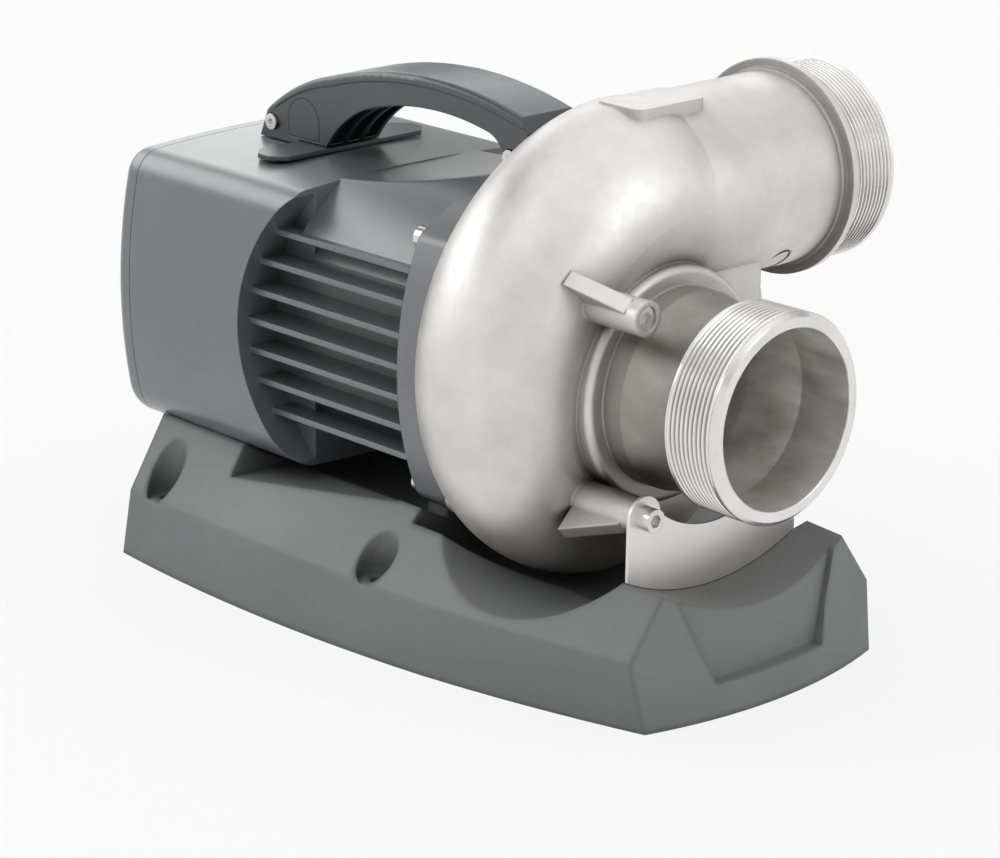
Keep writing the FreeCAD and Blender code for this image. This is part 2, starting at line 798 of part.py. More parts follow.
def scroll_loft(body, kind):
    """Loft along the scroll, from beside the tongue, over the bottom and up to the discharge pipe. The
    waterway leaves the casing's wall around it and keeps clear of the flat back."""
    water = kind == "SubtractiveLoft"
    sections = []
    for angle in list(range(-45, 271, 45)) + ["outlet"]:
        turn = 270 if angle == "outlet" else angle
        outer = scroll_radius(turn)
        radius = "(%s + scroll_place - casing_wall - %s) / 2" % (outer, WATER_BACK) if water else outer
        along = "%s + %s" % (WATER_BACK, radius) if water else "scroll_place"
        inset = "casing_wall" if water else "0"
        centre = "(%s + %s - %s - (%s))" % (scroll_centre(outer, turn), outer, inset, radius)
        across = "%s * %.6f" % (centre, math.cos(math.radians(turn)))
        section = new_sketch(body, "%s%s" % (kind, angle), "XY_Plane", x=along,
                             y="outlet_start" if angle == "outlet" else across,
                             z="%s * %.6f" % (centre, -math.sin(math.radians(turn))))
        section.AttachmentOffset.Rotation = FreeCAD.Rotation(ALONG_X, -turn)
        split_circle(section, radius)
        sections.append(section)
    if water:
        throat = new_sketch(body, kind + "Throat", "XY_Plane", x="scroll_place", y="throat_place",
                            z="discharge_rise")
        throat.AttachmentOffset.Rotation = FreeCAD.Rotation(ALONG_X, -turn)
        split_circle(throat, "mouth_bore")
        sections.append(throat)
    loft = body.newObject("PartDesign::" + kind, kind + "Scroll")
    loft.Profile = sections[0]
    loft.Sections = sections[1:]
    return loft


def outlet_pad(body, name, radius, start, length, kind=pad):
    """A round pad, or a cut, about the discharge axis from the start away from the shaft."""
    sketch = new_sketch(body, name + "Profile", "XZ_Plane", x="scroll_place", y="discharge_rise",
                        z="-(%s)" % start)
    circle(sketch, radius)
    return kind(body, sketch, length, name=name, Reversed=True)


def four_spots(across, up):
    return [(left + across, low + up) for left in ("-", "") for low in ("-", "")]


UPPER_BOSSES = [("-boss_circle", "boss_circle")]
LOWER_BOSSES = [("-boss_circle", "-boss_circle"), ("boss_circle", "-boss_circle")]
BOSS_SPOTS = UPPER_BOSSES + LOWER_BOSSES
FLANGE_SPOTS = four_spots("flange_screw_spot", "flange_screw_spot")
COVER_SPOTS = four_spots("cover_screw_across", "cover_screw_up")


def volute_housing():
    """Volute casting: spiral casing, discharge pipe with collar, suction neck, screw bosses and waterway."""
    body = new_body("volute_housing")
    back_face = "flange_front + slip"
    scroll_loft(body, "AdditiveLoft")
    outlet_pad(body, "Pipe", "discharge_radius", "outlet_start",
               "discharge_end - thread_length - outlet_start")
    outlet_pad(body, "Collar", "collar_radius", "discharge_end - thread_length - thread_bevel",
               "collar_thickness + thread_bevel")
    outlet_pad(body, "Bead", "bead_radius", "discharge_end - thread_length - thread_bevel - bead_width",
               "bead_width + thread_bevel")
    outlet_pad(body, "Stub", "thread_radius", "discharge_end - thread_length", "thread_length")
    back = new_sketch(body, "BackProfile", "YZ_Plane", z=back_face)
    box_outline(back, "-casing_radius * 2", "-casing_radius * 2", "flange_half + volute_room",
                "casing_radius * 2")
    pocket(body, back, "casing_radius", name="Back")
    turned(body, [
        (back_face, "0"),
        ("land_place", "0"),
        ("land_place", "land_radius - land_round", "land_round"),
        ("land_place - land_round", "land_radius"),
        (back_face, "land_radius"),
    ], name="Drum")
    turned(body, [
        ("land_place - thread_bevel", "0"),
        ("suction_end", "0"),
        ("suction_end", "thread_radius - rim_bevel"),
        ("suction_end - rim_bevel", "thread_radius"),
        ("suction_end - suction_thread", "thread_radius"),
        ("suction_end - suction_thread", "neck_radius + thread_bevel",
         "-" + bow_radius("neck_length / 2", "neck_hollow")),
        ("land_place + hub_depth", "hub_radius"),
        ("land_place - thread_bevel", "hub_radius"),
    ], name="Neck")
    bosses = new_sketch(body, "BossProfile", "YZ_Plane", z="scroll_place")
    for across, up in BOSS_SPOTS:
        circle(bosses, "boss_radius", across, up)
    pad(body, bosses, "boss_end - scroll_place", name="Bosses")
    for turn in (45, 135, 225):
        web = new_sketch(body, "WebProfile", "XY_Plane")
        web.AttachmentOffset.Rotation = FreeCAD.Rotation(ALONG_X, -turn)
        spot = "boss_circle * %.6f" % math.sqrt(2)
        outline(web, [("web_foot", spot), ("boss_end - web_drop", spot),
                      ("boss_end - web_drop", spot + " + boss_radius"), ("web_foot", spot + " + web_reach")])
        pad(body, web, "web_thickness", name="Web", SideType="Symmetric")
    limb = new_sketch(body, "LimbProfile", "YZ_Plane", z=back_face)
    box_outline(limb, "limb_inner", "limb_low", "limb_half", "discharge_rise")
    pad(body, limb, "limb_front - (%s)" % back_face, name="Limb")
    ears = new_sketch(body, "EarProfile", "YZ_Plane", z=back_face)
    for across, up in FLANGE_SPOTS:
        circle(ears, "ear_radius", across, up)
    pad(body, ears, "ear_length", name="Ears")
    name_pad = new_sketch(body, "NamePadProfile", "XY_Plane", z="discharge_rise + pad_rise")
    outline(name_pad, [
        ("pad_rear + pad_round", "pad_near"),
        ("pad_front - pad_round", "pad_near", "pad_round"),
        ("pad_front", "pad_near + pad_round"),
        ("pad_front", "pad_far - pad_round", "pad_round"),
        ("pad_front - pad_round", "pad_far"),
        ("pad_rear + pad_round", "pad_far", "pad_round"),
        ("pad_rear", "pad_far - pad_round"),
        ("pad_rear", "pad_near + pad_round", "pad_round"),
    ])
    pad(body, name_pad, "pad_depth", name="NamePad", Reversed=True)

    scroll_loft(body, "SubtractiveLoft")
    outlet_pad(body, "Throat", "mouth_bore", "discharge_end", "discharge_end - throat_place", kind=pocket)
    chamber_front = "impeller_place + impeller_width + shroud_thickness"
    chamber = "impeller_radius + shroud_thickness"
    turned(body, [
        ("suction_end + thread_bevel", "0"),
        ("suction_end + thread_bevel", "mouth_bore"),
        ("suction_end - suction_thread", "mouth_bore"),
        ("land_place + hub_depth", "neck_bore"),
        (chamber_front, "eye_radius + thread_bevel"),
        (chamber_front, chamber),
        (WATER_BACK, chamber),
        (WATER_BACK, "can_radius"),
        ("flange_front", "can_radius"),
        ("flange_front", "0"),
    ], name="Waterway", kind="Groove")
    screw_holes(body, "large", BOSS_SPOTS, "boss_end", "boss_hole_depth")
    screw_holes(body, "large", FLANGE_SPOTS, back_face, "ear_length / 2", towards_front=True)
    sunk = new_sketch(body, "SunkProfile", "YZ_Plane", z="boss_end")
    for across, up in UPPER_BOSSES:
        circle(sunk, "large_head_radius + running_gap", across, up)
    pocket(body, sunk, "large_head_height + thread_bevel", name="SunkHeads")
    return keep(body)


def bracket_plate():
    """Sheet bracket on the two lower bosses, standing in the base's trough."""
    body = new_body("bracket_plate")
    sketch = new_sketch(body, "PlateProfile", "YZ_Plane", z="boss_end")
    half = "(boss_circle + plate_ear)"
    arc = "(trough_radius - slip)"
    low = "trough_floor + trough_radius - shaft_height - sqrt(%s^2 - %s^2)" % (arc, half)
    inner = "(boss_circle - plate_ear)"
    outline(sketch, [
        ("-" + half, low, arc),
        (half, low),
        (half, "-boss_circle", "plate_ear"),
        ("boss_circle", "plate_ear - boss_circle", "plate_ear"),
        (inner, "-boss_circle", "-sqrt(%s^2 + boss_circle^2)" % inner),
        ("-" + inner, "-boss_circle", "plate_ear"),
        ("-boss_circle", "plate_ear - boss_circle", "plate_ear"),
        ("-" + half, "-boss_circle"),
    ])
    pad(body, sketch, "plate_thickness", name="Plate")
    screw_holes(body, "large", LOWER_BOSSES, "boss_end", "plate_thickness * 2", towards_front=True)
    return keep(body)


def arch_outline(sketch, place, low, centre, radius):
    """A tombstone outline: straight sides with a half-round top."""
    outline(sketch, [
        ("%s - %s" % (place, radius), low),
        ("%s + %s" % (place, radius), low),
        ("%s + %s" % (place, radius), centre, radius),
        (place, "%s + %s" % (centre, radius), radius),
        ("%s - %s" % (place, radius), centre),
    ])


HANDLE_SCREWS = [("-handle_screw_rear", "handle_screw_rear_rise"),
                 ("handle_screw_front", "handle_screw_front_rise")]


def handle():
    """Carrying handle: a bow with a ribbed rear foot and a forked front foot."""
    body = new_body("handle")
    profile = new_sketch(body, "HandleProfile", "XZ_Plane")
    seat = "case_half_high + slip"
    toe = "flange_half_high + slip"
    outline(profile, [
        ("-handle_tail", seat),
        ("-handle_heel", seat, "-heel_arc"),
        ("-arch_rear", "arch_rear_rise", "-arch_radius"),
        ("arch_front", "arch_front_rise", "-arch_front_arc"),
        ("toe_rear", toe),
        ("flange_front - slip", toe),
        ("flange_front - slip", "toe_rise"),
        ("handle_front", "handle_front_rise", "crown_radius"),
        ("-crown_rear", "crown_rear_rise", "shoulder_radius"),
        ("-handle_shoulder", "handle_shoulder_rise"),
    ])
    pad(body, profile, "handle_half * 2", name="Bow", SideType="Symmetric")
    crowns = [value("crown_radius"), value("shoulder_radius")]
    rounded(body, "handle_round", lambda edge: isinstance(edge.Curve, Part.Circle)
            and any(abs(edge.Curve.Radius - crown) < 0.01 for crown in crowns), name="Softened")
    for side, reverse in (("", False), ("-", True)):
        flat = new_sketch(body, "FlatProfile", "XZ_Plane", z=side + "handle_half")
        outline(flat, [
            ("-handle_tail * 2", "handle_shoulder_rise"),
            ("-handle_tail * 2", "0"),
            ("handle_front * 2", "0"),
            ("handle_front * 2", "handle_front_rise - band_width"),
            ("handle_front", "handle_front_rise - band_width", "(crown_radius - band_width)"),
            ("-crown_rear", "crown_rear_rise - band_width", "(shoulder_radius - band_width)"),
            ("band_width - handle_shoulder", "handle_shoulder_rise"),
        ])
        pocket(body, flat, "band_step", name="Flat", Reversed=reverse)

    for place, rise, root, name in (("-handle_screw_rear", "handle_screw_rear_rise", seat, "Rear"),
                                    ("handle_screw_front", "handle_screw_front_rise", toe, "Front")):
        slot = new_sketch(body, name + "SlotProfile", "XZ_Plane")
        box_outline(slot, "%s - lug_half_length - slip" % place, "%s - casing_wall" % root,
                    "%s + lug_half_length + slip" % place, "%s + lug_over + slip" % rise)
        pocket(body, slot, "(lug_half + slip) * 2", name=name + "Slot", SideType="Symmetric")
    strap = new_sketch(body, "StrapSlotProfile", "XZ_Plane")
    box_outline(strap, "-strap_front - strap_width - slip", "ramp_root",
                "0", "%s + strap_thickness + slip" % seat)
    pocket(body, strap, "handle_half * 4", name="StrapSlot", SideType="Symmetric")
    ribs = new_sketch(body, "RibPocketProfile", "YZ_Plane", z="-handle_rib_place")
    pitch = "((handle_half * 2 - handle_rib) / 3)"
    for count in (-1, 0, 1):
        middle = "%d * %s" % (count, pitch)
        gap = "(%s - handle_rib) / 2" % pitch
        box_outline(ribs, "%s - %s" % (middle, gap), "handle_rib_low",
                    "%s + %s" % (middle, gap), "handle_rib_high")
    pocket(body, ribs, "handle_rib_place / 2", name="RibPockets", Reversed=True)
    for side, reverse in (("", False), ("-", True)):
        recess = new_sketch(body, "PlugRecessProfile", "XZ_Plane", z=side + "handle_half")
        arch_outline(recess, "-plug_place", "plug_low", "plug_centre", "plug_radius")
        pocket(body, recess, "plug_depth", name="PlugRecess", Reversed=reverse)
    sink = new_sketch(body, "HeadSinkProfile", "XZ_Plane", z="handle_half")
    holes = new_sketch(body, "HandleHoleProfile", "XZ_Plane", z="handle_half")
    for place, rise in HANDLE_SCREWS:
        circle(sink, "small_head_radius + slip", place, rise)
        circle(holes, "small_radius + running_gap", place, rise)
    pocket(body, sink, "head_sink", name="HeadSink")
    pocket(body, holes, "handle_half * 2 - casing_wall", name="HandleHoles")
    return keep(body)


def handle_plugs():
    """Arch-shaped plugs flush in both sides of the handle's rear foot."""
    body = new_body("handle_plugs")
    for side, reverse in (("", False), ("-", True)):
        sketch = new_sketch(body, "PlugProfile", "XZ_Plane", z="%s(handle_half - slip)" % side)
        arch_outline(sketch, "-plug_place", "plug_low + seal_room", "plug_centre", "(plug_radius - seal_room)")
        pad(body, sketch, "plug_depth - slip", name="Plug", Reversed=not reverse)
    return keep(body)


def handle_strap():
    """Flat strap across the case under the handle's rear foot."""
    body = new_body("handle_strap")
    sketch = new_sketch(body, "StrapProfile", "XY_Plane", z="case_half_high + slip")
    box_outline(sketch, "-strap_front - strap_width", "-strap_half", "-strap_front", "strap_half")
    pad(body, sketch, "strap_thickness", name="Strap")
    rounded(body, "strap_cut", lambda edge: runs_along(edge, ALONG_Z), name="StrapEnds", kind="Chamfer")
    return keep(body)


def shaft():
    """Round shaft with bevelled ends."""
    body = new_body("shaft")
    turned(body, [
        ("-shaft_rear", "0"),
        ("shaft_front", "0"),
        ("shaft_front", "shaft_radius - shaft_bevel"),
        ("shaft_front - shaft_bevel", "shaft_radius"),
        ("shaft_bevel - shaft_rear", "shaft_radius"),
        ("-shaft_rear", "shaft_radius - shaft_bevel"),
    ], name="Shaft")
    return keep(body)


def sleeve(label, rear, front, inner, outer):
    """A plain ring on the shaft's axis."""
    body = new_body(label)
    turned(body, [(rear, inner), (front, inner), (front, outer), (rear, outer)], name="Ring")
    return keep(body)


def impeller():
    """Closed impeller: hub, rear shroud, swept vanes and a front shroud around the eye."""
    body = new_body("impeller")
    front = "impeller_place + impeller_width"
    turned(body, [
        ("impeller_place", "shaft_radius + running_gap"),
        ("hub_front", "shaft_radius + running_gap"),
        ("hub_front", "hub_outer"),
        ("impeller_place + shroud_thickness", "hub_outer"),
        ("impeller_place + shroud_thickness", "impeller_radius"),
        ("impeller_place", "impeller_radius"),
    ], name="Hub")
    outer = "(vane_tip + vane_thickness / 2)"
    inner = "(vane_tip - vane_thickness / 2)"
    vane = new_sketch(body, "VaneProfile", "YZ_Plane", z="impeller_place + thread_bevel")
    outline(vane, [
        ("vane_root", "-vane_thickness / 2", "vane_outer_arc"),
        (outer + " * cos(vane_sweep)", outer + " * sin(vane_sweep)"),
        (inner + " * cos(vane_sweep)", inner + " * sin(vane_sweep)", "-vane_inner_arc"),
        ("vane_root", "vane_thickness / 2"),
    ])
    blade = pad(body, vane, "impeller_width - thread_bevel * 2", name="Vane")
    ring = body.newObject("PartDesign::PolarPattern", "Vanes")
    ring.Originals = [blade]
    ring.Axis = origin_axis(body)
    bind(ring, Occurrences="vane_count")
    body.Tip = ring
    turned(body, [
        ("%s - shroud_thickness" % front, "eye_radius"),
        (front, "eye_radius"),
        (front, "impeller_radius"),
        ("%s - shroud_thickness" % front, "impeller_radius"),
    ], name="FrontShroud")
    return keep(body)


def impeller_nut():
    """Hexagon nut that holds the impeller on the shaft."""
    body = new_body("impeller_nut")
    profile = new_sketch(body, "NutProfile", "YZ_Plane", z="hub_front")
    hexagon(profile, "nut_half")
    circle(profile, "shaft_radius + running_gap")
    pad(body, profile, "nut_height", name="Nut")
    return keep(body)


def separating_can():
    """Thin closed can between rotor and stator, with a rim held in the flange."""
    body = new_body("separating_can")
    turned(body, [
        ("-can_rear - can_wall", "0"),
        ("-can_rear", "0"),
        ("-can_rear", "can_radius"),
        ("flange_front", "can_radius"),
        ("flange_front", "can_rim_radius"),
        ("flange_front - can_rim", "can_rim_radius"),
        ("flange_front - can_rim", "can_radius + can_wall"),
        ("-can_rear - can_wall", "can_radius + can_wall"),
    ], name="Can")
    return keep(body)


def stator_core():
    """Laminated core: a yoke ring with straight teeth."""
    body = new_body("stator_core")
    turned(body, [
        ("-stator_rear", "yoke_radius"),
        ("stator_length - stator_rear", "yoke_radius"),
        ("stator_length - stator_rear", "stator_radius"),
        ("-stator_rear", "stator_radius"),
    ], name="Yoke")
    tooth = new_sketch(body, "ToothProfile", "YZ_Plane", z="-stator_rear")
    box_outline(tooth, "stator_bore", "-tooth_width / 2", "yoke_radius + can_wall", "tooth_width / 2")
    first = pad(body, tooth, "stator_length", name="Tooth")
    teeth = body.newObject("PartDesign::PolarPattern", "Teeth")
    teeth.Originals = [first]
    teeth.Axis = origin_axis(body)
    bind(teeth, Occurrences="tooth_count")
    body.Tip = teeth
    return keep(body)


def stator_windings():
    """One coil around every tooth of the stator."""
    body = new_body("stator_windings")
    sketch = new_sketch(body, "CoilProfile", "XZ_Plane", x="stator_length / 2 - stator_rear", z="-coil_low")
    inner_long = "(stator_length / 2 + slip)"
    inner_wide = "(tooth_width / 2 + slip)"
    for extra in ("0", "coil_width"):
        along = "(%s + %s)" % (inner_long, extra)
        wide = "(%s + %s)" % (inner_wide, extra)
        box_outline(sketch, "-" + along, "-" + wide, along, wide)
    first = pad(body, sketch, "coil_height", name="Coil", Reversed=True)
    coils = body.newObject("PartDesign::PolarPattern", "Coils")
    coils.Originals = [first]
    coils.Axis = origin_axis(body)
    bind(coils, Occurrences="tooth_count")
    body.Tip = coils
    return keep(body)


def control_board():
    """Circuit board on the floor of the case's rear room, with its large components."""
    body = new_body("control_board")
    floor = "slip - room_half_high"
    board = new_sketch(body, "BoardProfile", "XY_Plane", z=floor)
    box_outline(board, "-board_rear", "-board_half", "board_length - board_rear", "board_half")
    pad(body, board, "board_thickness", name="Board")
    parts = new_sketch(body, "ComponentProfile", "XY_Plane", z=floor + " + board_thickness / 2")
    box_outline(parts, "gland_half - board_rear", "-board_half / 2", "board_length / 2 - board_rear", "0")
    for spot in ("board_half / 3", "board_half * 2 / 3"):
        circle(parts, "gland_radius", "board_length / 2 - board_rear", spot)
    pad(body, parts, "room_half_high / 2", name="Components")
    return keep(body)


base()
motor_housing()
rear_cover()
rear_cover_seal()
screws("rear_cover_screws", "small", COVER_SPOTS, "-case_rear - slip - cover_depth", "cover_depth * 2",
       outward=False)
cable_gland()
control_board()
motor_flange()
screws("flange_screws", "large", FLANGE_SPOTS, "flange_rear + slip", "flange_front - flange_rear + ear_length / 2",
       outward=False)
volute_seal()
volute_housing()
screws("boss_screws", "large", UPPER_BOSSES, "boss_end - large_head_height - thread_bevel",
       "boss_hole_depth - large_head_height - thread_bevel * 2")
bracket_plate()
screws("bracket_screws", "large", LOWER_BOSSES, "boss_end + plate_thickness", "boss_hole_depth")
handle()
screws("handle_screws", "small", HANDLE_SCREWS, "handle_half - head_sink", "handle_half * 2 - casing_wall * 2",
       role="XZ_Plane")
handle_plugs()
handle_strap()
separating_can()
stator_core()
stator_windings()
sleeve("rear_bearing", "-bearing_rear", "bearing_length - bearing_rear", "shaft_radius + running_gap",
       "bearing_radius")
sleeve("front_bearing", "bearing_front", "bearing_front + bearing_length", "shaft_radius + running_gap",
       "bearing_radius")
sleeve("rear_bearing_holder", "-bearing_rear", "bearing_length - bearing_rear", "bearing_radius + running_gap",
       "can_radius - running_gap")
sleeve("front_bearing_holder", "bearing_front", "bearing_front + bearing_length", "bearing_radius + running_gap",
       "can_radius - running_gap")
shaft()
sleeve("rotor_magnet", "-magnet_rear", "magnet_front", "shaft_radius + running_gap", "magnet_radius")
impeller()
impeller_nut()
doc.recompute()

for item in doc.Objects:
    if "Invalid" in item.State or "Error" in item.State:
        raise SystemExit("%s did not build: %s" % (item.Label, item.State))
os.makedirs("parts", exist_ok=True)
for part in PARTS:
    if part.Shape.isNull() or not part.Shape.isValid():
        raise SystemExit("%s has no valid shape" % part.Label)
    part.Shape.exportStep("parts/%s.step" % part.Label)
    print(part.Label, len(part.Shape.Solids), round(part.Shape.Volume))
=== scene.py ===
import json
import math

import bmesh
import bpy
from mathutils import Matrix, Vector


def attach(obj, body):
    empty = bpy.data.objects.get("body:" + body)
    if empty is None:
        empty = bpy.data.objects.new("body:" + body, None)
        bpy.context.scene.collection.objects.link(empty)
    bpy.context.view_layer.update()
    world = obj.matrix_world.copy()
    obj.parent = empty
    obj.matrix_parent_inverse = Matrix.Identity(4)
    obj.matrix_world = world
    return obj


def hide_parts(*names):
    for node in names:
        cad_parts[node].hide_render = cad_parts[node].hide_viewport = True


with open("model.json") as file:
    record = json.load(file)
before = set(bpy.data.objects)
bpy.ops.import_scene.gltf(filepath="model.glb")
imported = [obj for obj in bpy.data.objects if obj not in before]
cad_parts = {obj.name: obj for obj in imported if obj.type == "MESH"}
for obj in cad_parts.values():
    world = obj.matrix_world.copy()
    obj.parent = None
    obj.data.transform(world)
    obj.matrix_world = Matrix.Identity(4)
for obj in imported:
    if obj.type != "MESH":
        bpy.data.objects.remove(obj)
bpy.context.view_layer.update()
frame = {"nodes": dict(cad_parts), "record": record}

NODES = frame["nodes"]

# Sizes in metres, the same as in the solids.
SHAFT_HEIGHT = 0.1185
SUCTION_END = 0.1634
SUCTION_THREAD = 0.0255
RIM_BEVEL = 0.002
DISCHARGE_END = 0.1348
DISCHARGE_THREAD = 0.029
DISCHARGE_AXIS = (0.0575, 0.1855)
DISCHARGE_RADIUS = 0.042
COLLAR_THICKNESS = 0.0028
THREAD_RADIUS = 0.04394
THREAD_PITCH = 0.002309
THREAD_DEPTH = 0.00148
MOUTH_BORE = 0.0378
NECK_RADIUS = 0.0475
NECK_START = 0.1025
FLANGE_REAR = 0.012
SHOULDER = -0.058
BARREL_CORE = 0.0625
TOP_FIN_RISE = 0.0417

# Sizes of what only this script shows: the wider barrel and the wall beside the volute's tongue.
BARREL_RADIUS = 0.0749
RAMP_RISE = 0.0634
RAMP_ARC = 0.400
BARREL_SINK = 0.001
FLANGE_GAP = 0.0002
TONGUE_WALL = (0.074, 0.0935)
TONGUE_ANGLES = (-160, -20)
WALL_INSET = 0.0004

# Share of the thread's half pitch that is flat at its root and at its crest, and how near to the stub's surface
# and ends a vertex of the solid counts as on it.
FLAT_SHARE = 0.12
NEAR_SURFACE = 0.00006
NEAR_END = 0.0001

# Where the materials of the volute change, along the two stubs' axes.
SUCTION_BORE_START = 0.100
DISCHARGE_BORE_START = 0.084
BEYOND = 1.0
MARGIN = 0.0004
BORE_MARGIN = 0.0005
NECK_MARGIN = 0.0008

# The photograph's camera: angles in degrees, distances in metres, sensor in millimetres.
AZIMUTH = 45.71
ELEVATION = 18.11
ROLL = 0.85
CAMERA_TARGET = (0, 0, 0.07488)
CAMERA_DISTANCE = 1.49849
FOCAL_PIXELS = 3459.6
PHOTO_WIDTH = 1000
SENSOR_WIDTH = 36

# Floor and backdrop, in metres.
SWEEP_SIDES = 64
FLAT_RADII = (0.001, 1.0, 2.2)
CURVE_RADIUS = 0.8
CURVE_STEPS = 8
BACKDROP_HEIGHT = 1.5

# Studio light: tones as they render, and the direction of the bright side.
FLOOR_TONE = 0.78
FLOOR_GLOW = 0.95
GLOW_SHARE = 0.85
BRIGHT_SIDE = (-0.75, -0.60, 0.27)
SIDE_LIGHT = (0.30, 1.30)
CEILING_LIGHT = 1.15
BACKGROUND_WHITE = 0.97


# Materials

def new_material(name):
    """An empty node material with its shader and output."""
    material = bpy.data.materials.new(name)
    material.use_nodes = True
    tree = material.node_tree
    tree.nodes.clear()
    output = tree.nodes.new("ShaderNodeOutputMaterial")
    shader = tree.nodes.new("ShaderNodeBsdfPrincipled")
    tree.links.new(shader.outputs["BSDF"], output.inputs["Surface"])
    return material, tree, shader


def add(tree, kind, **settings):
    """A new node of the given kind."""
    node = tree.nodes.new("ShaderNode" + kind)
    for name, setting in settings.items():
        setattr(node, name, setting)
    return node


def place(tree, scale=(1, 1, 1)):
    """Object coordinates in metres, stretched by the given scale."""
    coordinates = add(tree, "TexCoord")
    mapping = add(tree, "Mapping")
    mapping.inputs["Scale"].default_value = scale
    tree.links.new(coordinates.outputs["Object"], mapping.inputs["Vector"])
    return mapping.outputs["Vector"]


def noise(tree, size, detail=4.0, roughness=0.55, scale=(1, 1, 1)):
    """Noise whose features are about the given size in metres."""
    node = add(tree, "TexNoise")
    node.inputs["Scale"].default_value = 1.0 / size
    node.inputs["Detail"].default_value = detail
    node.inputs["Roughness"].default_value = roughness
    tree.links.new(place(tree, scale), node.inputs["Vector"])
    return node.outputs["Fac"]


def ramp(tree, source, low, high, start=0.3, stop=0.7):
    """Two colours or values, blended between the start and stop of the source."""
    node = add(tree, "ValToRGB")
    node.color_ramp.elements[0].position = start
    node.color_ramp.elements[1].position = stop
    for element, tone in zip(node.color_ramp.elements, (low, high)):
        element.color = (*tone, 1) if isinstance(tone, tuple) else (tone, tone, tone, 1)
    tree.links.new(source, node.inputs["Fac"])
    return node.outputs["Color"]


def mix(tree, factor, first, second):
    """Blend of two colour sockets."""
    node = add(tree, "Mix", data_type="RGBA")
    tree.links.new(factor, node.inputs["Factor"])
    tree.links.new(first, node.inputs["A"])
    tree.links.new(second, node.inputs["B"])
    return node.outputs["Result"]


def grey(tree, tone):
    """A plain grey colour socket."""
    node = add(tree, "RGB")
    node.outputs[0].default_value = (tone, tone, tone, 1)
    return node.outputs[0]


def calculate(tree, operation, *values):
    """Result of a calculation with sockets and floats."""
    node = add(tree, "Math", operation=operation)
    for socket, value in zip(node.inputs, values):
        if isinstance(value, float):
            socket.default_value = value
        else:
            tree.links.new(value, socket)
    return node.outputs[0]


def between(tree, source, low, high):
    """1 where the source lies between two numbers."""
    above = calculate(tree, "GREATER_THAN", source, low)
    below = calculate(tree, "LESS_THAN", source, high)
    return calculate(tree, "MULTIPLY", above, below)


def radius_about(tree, first, first_centre, second, second_centre):
    """Distance from an axis, from two object coordinates."""
    squares = []
    for source, centre in ((first, first_centre), (second, second_centre)):
        shifted = calculate(tree, "SUBTRACT", source, centre)
        squares.append(calculate(tree, "MULTIPLY", shifted, shifted))
    return calculate(tree, "SQRT", calculate(tree, "ADD", *squares))


def stub_places(tree):
    """Distance from the axis and place along it, for the suction stub and the discharge stub."""
    axes = add(tree, "SeparateXYZ")
    tree.links.new(place(tree), axes.inputs[0])
    x, y, z = (axes.outputs[name] for name in "XYZ")
    suction = radius_about(tree, y, 0.0, z, SHAFT_HEIGHT)
    discharge = radius_about(tree, x, DISCHARGE_AXIS[0], z, DISCHARGE_AXIS[1])
    return (suction, x), (discharge, y)


def soft_edges(tree, radius):
    """Normal that runs round sharp edges over the given radius in metres."""
    node = add(tree, "Bevel", samples=4)
    node.inputs["Radius"].default_value = radius
    return node.outputs["Normal"]


def open_share(tree, distance, own=False):
    """1 on open surfaces, less in narrow corners within the distance in metres."""
    node = add(tree, "AmbientOcclusion", samples=3, only_local=own)
    node.inputs["Distance"].default_value = distance
    return node.outputs["AO"]


def bump(tree, shader, source, height, strength, edge=None):
    """Bump of the given height in metres, over edges rounded by the given radius."""
    node = add(tree, "Bump")
    node.inputs["Distance"].default_value = height
    node.inputs["Strength"].default_value = strength
    tree.links.new(source, node.inputs["Height"])
    if edge is not None:
        tree.links.new(soft_edges(tree, edge), node.inputs["Normal"])
    tree.links.new(node.outputs["Normal"], shader.inputs["Normal"])


def moulded(name, dark, light, rough, grain=0.00035, grain_height=0.00004, edge=0.0006, specular=0.5,
            coat=0.0, shade=0.05):
    """Moulded plastic: fine grain, a slow drift of tone, slightly rounded edges, and painted shade that darkens
    its corners.
    """
    material, tree, shader = new_material(name)
    drift = ramp(tree, noise(tree, 0.05, 3.0), dark, light)
    # Painted shade: the same tones at half strength, laid into the corners by the ambient-occlusion share
    # below.
    painted_shade_tones = ramp(tree, noise(tree, 0.05, 3.0), tuple(part * 0.5 for part in dark),
                  tuple(part * 0.5 for part in light))
    corners = ramp(tree, open_share(tree, shade), 0.0, 1.0, 0.05, 0.75)
    tree.links.new(mix(tree, corners, painted_shade_tones, drift), shader.inputs["Base Color"])
    tree.links.new(ramp(tree, noise(tree, 0.012, 4.0), rough - 0.02, rough + 0.03),
                   shader.inputs["Roughness"])
    shader.inputs["Specular IOR Level"].default_value = specular
    shader.inputs["Coat Weight"].default_value = coat
    shader.inputs["Coat Roughness"].default_value = 0.30
    bump(tree, shader, noise(tree, grain, 2.0), grain_height, 0.4, edge)
    return material


def metal(name, dark, light, rough, grain, grain_height, scale=(1, 1, 1), spread=0.04):
    """Bare metal with a fine surface grain, stretched where the scale says so."""
    material, tree, shader = new_material(name)
    shader.inputs["Metallic"].default_value = 1.0
    tree.links.new(ramp(tree, noise(tree, 0.03, 5.0), dark, light), shader.inputs["Base Color"])
    tree.links.new(ramp(tree, noise(tree, 0.006, 6.0, scale=scale), rough - spread, rough + spread),
                   shader.inputs["Roughness"])
    bump(tree, shader, noise(tree, grain, 3.0, scale=scale), grain_height, 0.5, 0.0003)
    return material


